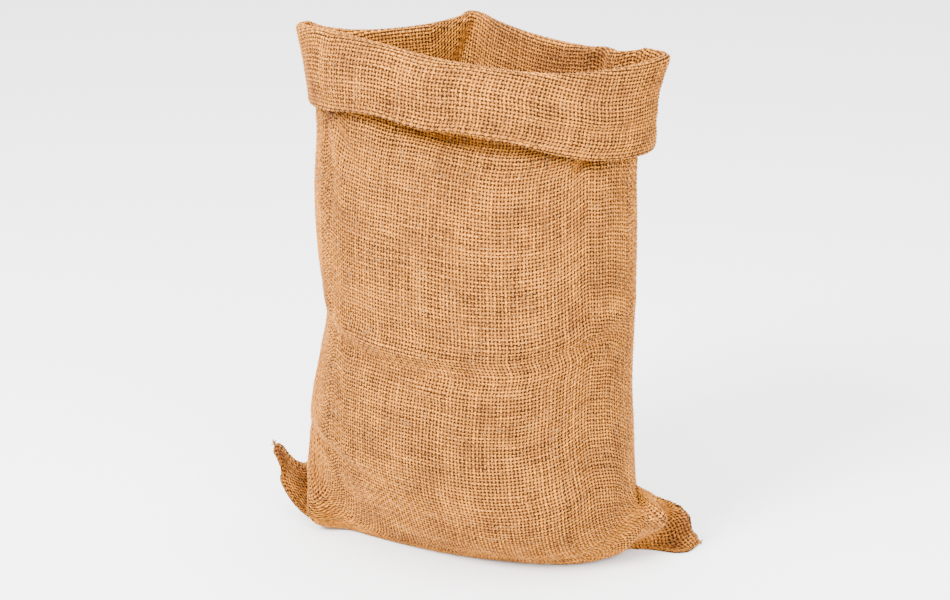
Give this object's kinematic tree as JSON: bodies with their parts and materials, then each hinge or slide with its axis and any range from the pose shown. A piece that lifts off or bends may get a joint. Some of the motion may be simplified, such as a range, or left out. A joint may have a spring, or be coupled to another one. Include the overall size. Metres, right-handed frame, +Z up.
{
  "type": "burlap sack",
  "caption": "Small jute sack standing open, its mouth turned out into a deep cuff and its bottom corners sticking out as flat ears.",
  "frame": {"origin": "on the surface the sack stands on, under the middle of its box", "axes": "+Z up, +X towards the sack's right-hand side, +Y towards its back"},
  "size_m": [0.3356, 0.1672, 0.4077],
  "materials": {
    "burlap": "dull, coarse plain weave"
  },
  "bodies": {
    "root": {"sack_cloth": "burlap"}
  },
  "joints": []
}
